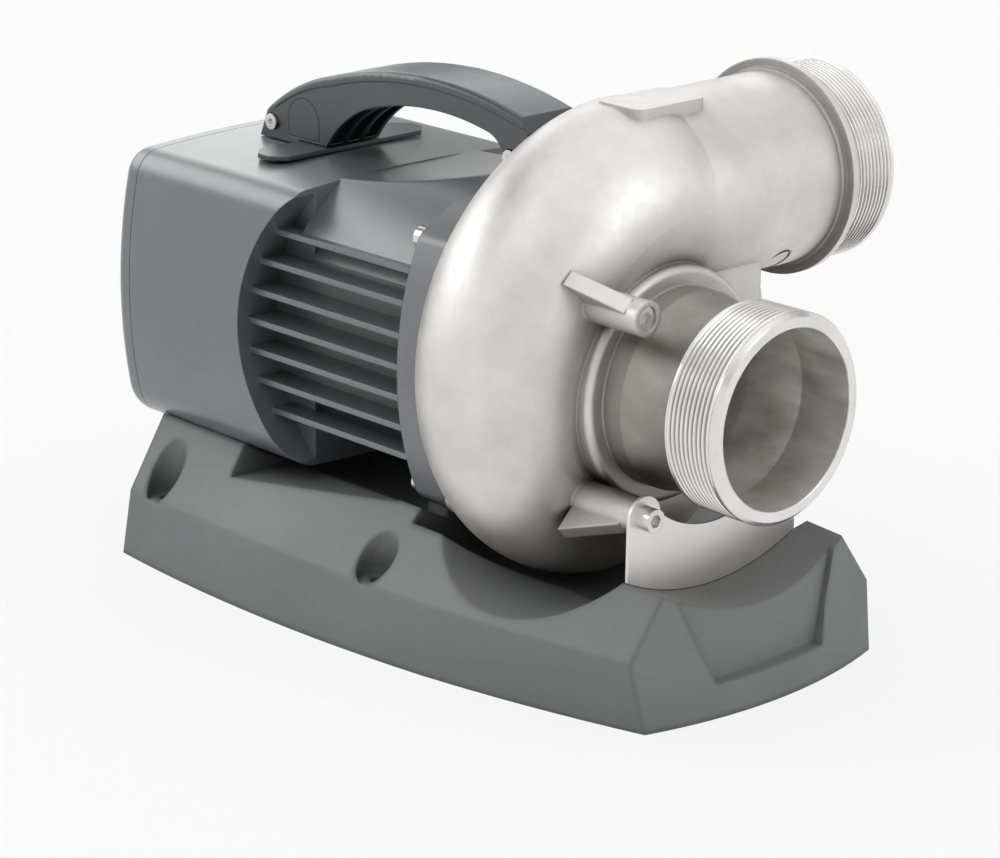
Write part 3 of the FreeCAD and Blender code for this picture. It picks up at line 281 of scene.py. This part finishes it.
def thread_steel():
    """Threads turned bright, with painted shade darkening their grooves."""
    material, tree, shader = new_material("thread_look")
    shader.inputs["Metallic"].default_value = 1.0
    painted_groove_shade = []
    starts = (SUCTION_END - SUCTION_THREAD, DISCHARGE_END - DISCHARGE_THREAD)
    for (radius, along), start in zip(stub_places(tree), starts):
        depth = add(tree, "MapRange")
        depth.inputs["From Min"].default_value = THREAD_RADIUS - THREAD_DEPTH * 0.35
        depth.inputs["From Max"].default_value = THREAD_RADIUS - THREAD_DEPTH
        tree.links.new(radius, depth.inputs["Value"])
        stub = calculate(tree, "MULTIPLY", depth.outputs["Result"], between(tree, along, start, BEYOND))
        near = between(tree, radius, THREAD_RADIUS - THREAD_DEPTH * 1.2, THREAD_RADIUS)
        painted_groove_shade.append(calculate(tree, "MULTIPLY", stub, near))
    bright = ramp(tree, noise(tree, 0.02, 4.0), (0.74, 0.73, 0.71), (0.84, 0.83, 0.81))
    # Painted shade: the thread's roots are coloured dark grey.
    tree.links.new(mix(tree, calculate(tree, "MAXIMUM", *painted_groove_shade), bright, grey(tree, 0.14)),
                   shader.inputs["Base Color"])
    tree.links.new(ramp(tree, noise(tree, 0.01, 2.0), 0.20, 0.26), shader.inputs["Roughness"])
    bump(tree, shader, noise(tree, 0.0012, 2.0), 0.00001, 0.2)
    return material


def cast_steel():
    """Stainless casting with a bead-blast finish and painted shade in its corners and on its neck; its rims and
    bores turned on a lathe, the rims bright, the bores lightened and partly diffuse as painted reflected light.
    """
    material, tree, shader = new_material("cast_steel_look")
    places = stub_places(tree)
    starts = ((SUCTION_END - SUCTION_THREAD - MARGIN, SUCTION_BORE_START),
              (DISCHARGE_END - DISCHARGE_THREAD + COLLAR_THICKNESS - MARGIN, DISCHARGE_BORE_START))
    stubs, bores = [], []
    for (radius, along), (stub_start, bore_start) in zip(places, starts):
        stub = calculate(tree, "MULTIPLY", between(tree, radius, 0.0, THREAD_RADIUS + MARGIN),
                         between(tree, along, stub_start, BEYOND))
        bore = calculate(tree, "MULTIPLY", between(tree, radius, 0.0, MOUTH_BORE + BORE_MARGIN),
                         between(tree, along, bore_start, BEYOND))
        stubs.append(calculate(tree, "MAXIMUM", stub, bore))
        bores.append(bore)
    turned = calculate(tree, "MAXIMUM", *stubs)
    inside = calculate(tree, "MAXIMUM", *bores)
    # Painted light in the bores: they are made partly non-metallic so that they take diffuse light in place of
    # reflections.
    tree.links.new(ramp(tree, inside, 1.0, 0.65, 0.0, 1.0), shader.inputs["Metallic"])

    # Painted shade: dark tones laid into the casting's corners by the ambient-occlusion share.
    corners = ramp(tree, open_share(tree, 0.045, own=True), 0.0, 1.0, 0.25, 0.95)
    blasted_and_painted_shade = mix(tree, corners,
                  ramp(tree, noise(tree, 0.03, 5.0), (0.20, 0.19, 0.172), (0.25, 0.24, 0.22)),
                  ramp(tree, noise(tree, 0.03, 6.0, 0.62), (0.62, 0.61, 0.585), (0.75, 0.74, 0.72),
                       0.30, 0.68))
    # Painted shade on the neck: a darker, duller tone in place of the shade that falls there.
    suction, along = places[0]
    neck = calculate(tree, "MULTIPLY", between(tree, suction, MOUTH_BORE + NECK_MARGIN, NECK_RADIUS),
                     between(tree, along, NECK_START, SUCTION_END - SUCTION_THREAD - BORE_MARGIN))
    painted_neck_shade = ramp(tree, noise(tree, 0.02, 4.0), (0.30, 0.285, 0.26), (0.40, 0.385, 0.355))
    bright = ramp(tree, noise(tree, 0.02, 4.0), (0.72, 0.71, 0.69), (0.80, 0.79, 0.77))
    # Painted reflection in the bores: a light streaky tone.
    streaks_and_painted_light = ramp(tree, noise(tree, 0.012, 3.0, scale=(0.35, 0.35, 1)), (0.60, 0.58, 0.55),
                   (0.98, 0.96, 0.92), 0.35, 0.65)
    tree.links.new(mix(tree, turned, mix(tree, neck, blasted_and_painted_shade, painted_neck_shade), mix(tree, inside, bright, streaks_and_painted_light)),
                   shader.inputs["Base Color"])
    satin = ramp(tree, noise(tree, 0.008, 6.0), 0.44, 0.52)
    lathe = ramp(tree, noise(tree, 0.008, 2.0), 0.17, 0.22)
    tree.links.new(mix(tree, turned, satin, lathe), shader.inputs["Roughness"])
    bump(tree, shader, noise(tree, 0.0006, 3.0), 0.00005, 0.3, 0.0012)
    return material


LOOKS = {
    "base_plastic": moulded("base_look", (0.140, 0.142, 0.144), (0.158, 0.160, 0.162), 0.50, grain=0.0006,
                            grain_height=0.00006, edge=0.0045),
    "case_plastic": moulded("case_look", (0.080, 0.083, 0.087), (0.094, 0.097, 0.102), 0.38, edge=0.0008,
                            specular=1.0, coat=0.7, shade=0.006),
    "handle_plastic": moulded("handle_look", (0.021, 0.024, 0.028), (0.027, 0.030, 0.035), 0.36, edge=0.0010,
                              specular=1.0, coat=0.2),
    "gland_plastic": moulded("gland_look", (0.020, 0.020, 0.021), (0.03, 0.03, 0.031), 0.38),
    "cast_steel": cast_steel(),
    "steel_sheet": metal("sheet_look", (0.84, 0.83, 0.81), (0.88, 0.87, 0.85), 0.42, 0.0004, 0.00001,
                         spread=0.02),
    "steel_screws": metal("screw_look", (0.66, 0.65, 0.64), (0.76, 0.75, 0.74), 0.24, 0.0008, 0.00002),
    "rubber": moulded("rubber_look", (0.014, 0.014, 0.014), (0.022, 0.022, 0.022), 0.62),
    "board": moulded("board_look", (0.01, 0.09, 0.03), (0.02, 0.14, 0.05), 0.3),
    "laminations": metal("lamination_look", (0.20, 0.20, 0.21), (0.32, 0.32, 0.33), 0.45, 0.0005, 0.0001,
                         scale=(1, 0.02, 0.02)),
    "copper": metal("copper_look", (0.52, 0.22, 0.09), (0.72, 0.34, 0.16), 0.32, 0.0008, 0.0001,
                    scale=(0.1, 1, 1)),
    "ceramic": moulded("ceramic_look", (0.72, 0.70, 0.64), (0.80, 0.78, 0.72), 0.16),
    "magnet": metal("magnet_look", (0.06, 0.06, 0.065), (0.11, 0.11, 0.12), 0.4, 0.001, 0.00004),
    "impeller_plastic": metal("impeller_look", (0.46, 0.45, 0.43), (0.58, 0.57, 0.55), 0.36, 0.001, 0.00006),
}

SLOT_OF = {entry["node"]: entry["material_slot"] for entry in frame["record"]["subparts"]}
for node, piece in NODES.items():
    look = LOOKS[SLOT_OF[node]]
    for slot in piece.material_slots:
        slot.material = look


def finished(name, mesh, *materials):
    """Object in the scene, made of the mesh and given the materials."""
    data = bpy.data.meshes.new(name)
    mesh.to_mesh(data)
    mesh.free()
    for material in materials:
        data.materials.append(material)
    piece = bpy.data.objects.new(name, data)
    bpy.context.scene.collection.objects.link(piece)
    return piece


# Volute with cut threads

def thread_radius(along, turn, length):
    """Radius of the thread's surface at a distance from its start and an angle, running out at both ends."""
    phase = (along / THREAD_PITCH - turn / (2 * math.pi)) % 1.0
    flank = abs(2 * phase - 1)
    flank = min(1.0, max(0.0, (flank - FLAT_SHARE) / (1 - 2 * FLAT_SHARE)))
    runout = min(1.0, along / THREAD_PITCH, (length - along) / THREAD_PITCH)
    return THREAD_RADIUS - THREAD_DEPTH * (1 - flank) * max(0.0, runout)


def thread_rows(mesh, to_world, length, steps=8, around=144):
    """Surface of a thread between two plain circles."""
    count = round(length / THREAD_PITCH * steps)
    rows = []
    for row in range(count + 1):
        along = length * row / count
        ring = []
        for number in range(around):
            turn = 2 * math.pi * number / around
            radius = thread_radius(along, turn, length)
            ring.append(mesh.verts.new(to_world(along, radius * math.cos(turn), radius * math.sin(turn))))
        rows.append(ring)
    for first, second in zip(rows, rows[1:]):
        for number in range(around):
            following = (number + 1) % around
            face = mesh.faces.new((first[number], first[following], second[following], second[number]))
            face.smooth = True
            face.material_index = 1


def tongue_wall(mesh, columns=24):
    """The pipe's lower wall beside the tongue, where the solid's waterway breaks through it."""
    outer, inner = DISCHARGE_RADIUS - WALL_INSET, MOUTH_BORE + WALL_INSET
    start, stop = TONGUE_WALL
    corners = ((outer, start), (outer, stop), (inner, stop), (inner, start))
    rows = []
    for column in range(columns + 1):
        share = column / columns
        turn = math.radians(TONGUE_ANGLES[0] + (TONGUE_ANGLES[1] - TONGUE_ANGLES[0]) * share)
        rows.append([mesh.verts.new((DISCHARGE_AXIS[0] + radius * math.cos(turn), along,
                                     DISCHARGE_AXIS[1] + radius * math.sin(turn)))
                     for radius, along in corners])
    for first, second in zip(rows, rows[1:]):
        for number in range(len(corners)):
            following = (number + 1) % len(corners)
            face = mesh.faces.new((first[number], second[number], second[following], first[following]))
            face.smooth = number in (0, 2)
    mesh.faces.new(rows[0])
    mesh.faces.new(list(reversed(rows[-1])))


def plain_thread(mesh, axis, start, stop, centre):
    """The faces of a plain stub, from start to stop along the axis, without the rings at its ends."""
    across, up = (other for other in range(3) if other != axis)

    def on_stub(vertex):
        radius = math.hypot(vertex.co[across] - centre[0], vertex.co[up] - centre[1])
        return (abs(radius - THREAD_RADIUS) < NEAR_SURFACE
                and start - NEAR_END < vertex.co[axis] < stop + NEAR_END)

    return [face for face in mesh.faces if all(on_stub(vertex) for vertex in face.verts)
            and face.calc_area() > 0 and abs(face.normal[axis]) <= 0.5]


def threaded_volute():
    """The volute's own surface, with both plain stubs replaced by cut threads."""
    mesh = bmesh.new()
    mesh.from_mesh(NODES["volute_housing"].data)
    suction_start, suction_stop = SUCTION_END - SUCTION_THREAD, SUCTION_END - RIM_BEVEL
    discharge_start = DISCHARGE_END - DISCHARGE_THREAD + COLLAR_THICKNESS
    plain = plain_thread(mesh, 0, suction_start, suction_stop, (0.0, SHAFT_HEIGHT))
    plain += plain_thread(mesh, 1, discharge_start, DISCHARGE_END, DISCHARGE_AXIS)
    bmesh.ops.delete(mesh, geom=plain, context="FACES")
    thread_rows(mesh, lambda along, a, b: Vector((suction_start + along, a, SHAFT_HEIGHT + b)),
                suction_stop - suction_start)
    thread_rows(mesh, lambda along, a, b: Vector((DISCHARGE_AXIS[0] + b, discharge_start + along,
                                                  DISCHARGE_AXIS[1] + a)),
                DISCHARGE_END - discharge_start)
    tongue_wall(mesh)
    piece = finished("volute_threaded", mesh, LOOKS["cast_steel"], thread_steel())
    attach(piece, "pump")
    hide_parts("volute_housing")


threaded_volute()


# Motor housing's barrel

def ramp_height(along):
    """Height above the shaft of the hollow slope from the case's shoulder up to the flange."""
    chord = Vector((FLANGE_REAR - SHOULDER, BARREL_RADIUS - RAMP_RISE))
    sideways = Vector((-chord.y, chord.x)).normalized()
    middle = Vector((SHOULDER, RAMP_RISE)) + chord / 2
    centre = middle + sideways * math.sqrt(RAMP_ARC ** 2 - (chord.length / 2) ** 2)
    return centre.y - math.sqrt(RAMP_ARC ** 2 - (along - centre.x) ** 2)


def barrel_top(rows=40, columns=96):
    """The barrel's upper half over the motor, with the slope cut into its top and its foot in the fins."""
    mesh = bmesh.new()
    foot = math.asin((TOP_FIN_RISE - BARREL_SINK) / BARREL_RADIUS)
    start, stop = SHOULDER - BARREL_SINK, FLANGE_REAR - FLANGE_GAP
    core_across, core_up = BARREL_CORE * math.cos(foot), SHAFT_HEIGHT + BARREL_CORE * math.sin(foot)
    grid = []
    for row in range(rows + 1):
        along = start + (stop - start) * row / rows
        line = [mesh.verts.new((along, -core_across, core_up))]
        for column in range(columns + 1):
            turn = foot + (math.pi - 2 * foot) * column / columns
            up = min(BARREL_RADIUS * math.sin(turn), ramp_height(along))
            line.append(mesh.verts.new((along, -BARREL_RADIUS * math.cos(turn), SHAFT_HEIGHT + up)))
        line.append(mesh.verts.new((along, core_across, core_up)))
        grid.append(line)
    for first, second in zip(grid, grid[1:]):
        for number in range(len(first) - 1):
            face = mesh.faces.new((first[number], second[number], second[number + 1], first[number + 1]))
            face.smooth = True
    piece = finished("motor_barrel_top", mesh, LOOKS["case_plastic"])
    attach(piece, "pump")


barrel_top()


# Studio

def studio_surface(name, tone):
    """Floor and backdrop: white to the camera, with the soft shadow kept."""
    material = bpy.data.materials.new(name)
    material.use_nodes = True
    tree = material.node_tree
    tree.nodes.clear()
    output = tree.nodes.new("ShaderNodeOutputMaterial")
    diffuse = add(tree, "BsdfDiffuse")
    tree.links.new(ramp(tree, noise(tree, 0.4, 2.0), tone, tone + 0.01), diffuse.inputs["Color"])
    glow = add(tree, "Emission")
    glow.inputs["Strength"].default_value = FLOOR_GLOW
    rays = add(tree, "LightPath")
    seen = calculate(tree, "MAXIMUM", rays.outputs["Is Camera Ray"], rays.outputs["Is Glossy Ray"])
    blend = add(tree, "MixShader")
    tree.links.new(calculate(tree, "MULTIPLY", seen, GLOW_SHARE), blend.inputs[0])
    tree.links.new(diffuse.outputs[0], blend.inputs[1])
    tree.links.new(glow.outputs[0], blend.inputs[2])
    tree.links.new(blend.outputs[0], output.inputs["Surface"])
    return material


def sweep():
    """A floor that curves up into a backdrop all round."""
    mesh = bmesh.new()
    edge = FLAT_RADII[-1]
    profile = [(radius, 0.0) for radius in FLAT_RADII]
    for step in range(1, CURVE_STEPS + 1):
        angle = math.radians(90 * step / CURVE_STEPS)
        profile.append((edge + CURVE_RADIUS * math.sin(angle), CURVE_RADIUS * (1 - math.cos(angle))))
    profile.append((edge + CURVE_RADIUS, BACKDROP_HEIGHT))
    turns = [2 * math.pi * side / SWEEP_SIDES for side in range(SWEEP_SIDES)]
    rings = [[mesh.verts.new((radius * math.cos(turn), radius * math.sin(turn), height)) for turn in turns]
             for radius, height in profile]
    for low, high in zip(rings, rings[1:]):
        for side in range(SWEEP_SIDES):
            following = (side + 1) % SWEEP_SIDES
            face = mesh.faces.new((low[side], low[following], high[following], high[side]))
            face.smooth = True
    mesh.faces.new(list(reversed(rings[0])))
    piece = finished("sweep", mesh, studio_surface("studio_white", FLOOR_TONE))


def aim(piece, spot, target):
    """Put a lamp or card at the spot, facing the target."""
    piece.location = spot
    piece.rotation_euler = (Vector(target) - Vector(spot)).to_track_quat("-Z", "Y").to_euler()


def softbox(name, spot, target, size, power):
    """A rectangular lamp of the given size in metres and power in watts."""
    lamp = bpy.data.lights.new(name, "AREA")
    lamp.shape = "RECTANGLE"
    lamp.size, lamp.size_y = size
    lamp.energy = power
    piece = bpy.data.objects.new(name, lamp)
    aim(piece, spot, target)
    bpy.context.scene.collection.objects.link(piece)


def dark_card(name, spot, target, size):
    """A card that only reflections show, as a studio uses to draw dark lines on bright threads."""
    mesh = bmesh.new()
    bmesh.ops.create_grid(mesh, x_segments=1, y_segments=1, size=0.5)
    material, tree, shader = new_material(name)
    tree.links.new(ramp(tree, noise(tree, 0.1, 2.0), 0.010, 0.016), shader.inputs["Base Color"])
    shader.inputs["Roughness"].default_value = 0.9
    piece = finished(name, mesh, material)
    piece.scale = (*size, 1)
    aim(piece, spot, target)
    piece.visible_camera = False
    piece.visible_diffuse = False
    piece.visible_shadow = False


def world_light():
    """Studio light: a bright ceiling, a broad bright side to the front left and a dim right side."""
    world = bpy.data.worlds.new("studio")
    bpy.context.scene.world = world
    world.use_nodes = True
    tree = world.node_tree
    tree.nodes.clear()
    output = tree.nodes.new("ShaderNodeOutputWorld")
    background = add(tree, "Background")
    coordinates = add(tree, "TexCoord")
    axes = add(tree, "SeparateXYZ")
    tree.links.new(coordinates.outputs["Generated"], axes.inputs[0])
    leftwards = add(tree, "VectorMath", operation="DOT_PRODUCT")
    leftwards.inputs[1].default_value = BRIGHT_SIDE
    tree.links.new(coordinates.outputs["Generated"], leftwards.inputs[0])
    half = calculate(tree, "MULTIPLY_ADD", leftwards.outputs["Value"], 0.5, 0.5)
    sides = ramp(tree, half, *SIDE_LIGHT, 0.35, 0.95)
    overhead = ramp(tree, axes.outputs["Z"], 0.0, 1.0, 0.40, 0.80)
    tone = mix(tree, overhead, sides, grey(tree, CEILING_LIGHT))
    rays = add(tree, "LightPath")
    tree.links.new(mix(tree, rays.outputs["Is Camera Ray"], tone, grey(tree, BACKGROUND_WHITE)),
                   background.inputs["Color"])
    background.inputs["Strength"].default_value = 1.0
    tree.links.new(background.outputs[0], output.inputs["Surface"])


def camera():
    """Camera at the photograph's angle."""
    azimuth, elevation, roll = math.radians(AZIMUTH), math.radians(ELEVATION), math.radians(ROLL)
    back = Vector((math.sin(azimuth) * math.cos(elevation), -math.cos(azimuth) * math.cos(elevation),
                   math.sin(elevation)))
    right = Vector((math.cos(azimuth), math.sin(azimuth), 0))
    up = back.cross(right)
    rolled_right = right * math.cos(roll) + up * math.sin(roll)
    rolled_up = up * math.cos(roll) - right * math.sin(roll)
    data = bpy.data.cameras.new("camera")
    data.sensor_fit = "HORIZONTAL"
    data.sensor_width = SENSOR_WIDTH
    data.lens = SENSOR_WIDTH * FOCAL_PIXELS / PHOTO_WIDTH
    data.clip_end = 20
    piece = bpy.data.objects.new("camera", data)
    matrix = Matrix((rolled_right, rolled_up, back)).transposed().to_4x4()
    matrix.translation = Vector(CAMERA_TARGET) + back * CAMERA_DISTANCE
    piece.matrix_world = matrix
    bpy.context.scene.collection.objects.link(piece)
    bpy.context.scene.camera = piece


sweep()
world_light()
softbox("key", (-1.2, -0.6, 1.15), (0, 0, 0.12), (1.4, 1.2), 11)
softbox("rim", (-1.2, 1.2, 0.75), (0, 0, 0.16), (1.5, 0.7), 4.5)
softbox("side", (1.5, 0.4, 1.0), (0.05, 0, 0.12), (0.7, 0.9), 5)
dark_card("suction_card", (-0.19, -0.175, 0.47), (0.15, -0.03, 0.15), (0.40, 0.16))
dark_card("discharge_card", (-0.25, 0.40, 0.285), (0.05, 0.12, 0.23), (0.40, 0.11))
camera()
bpy.context.scene.view_settings.view_transform = "Standard"
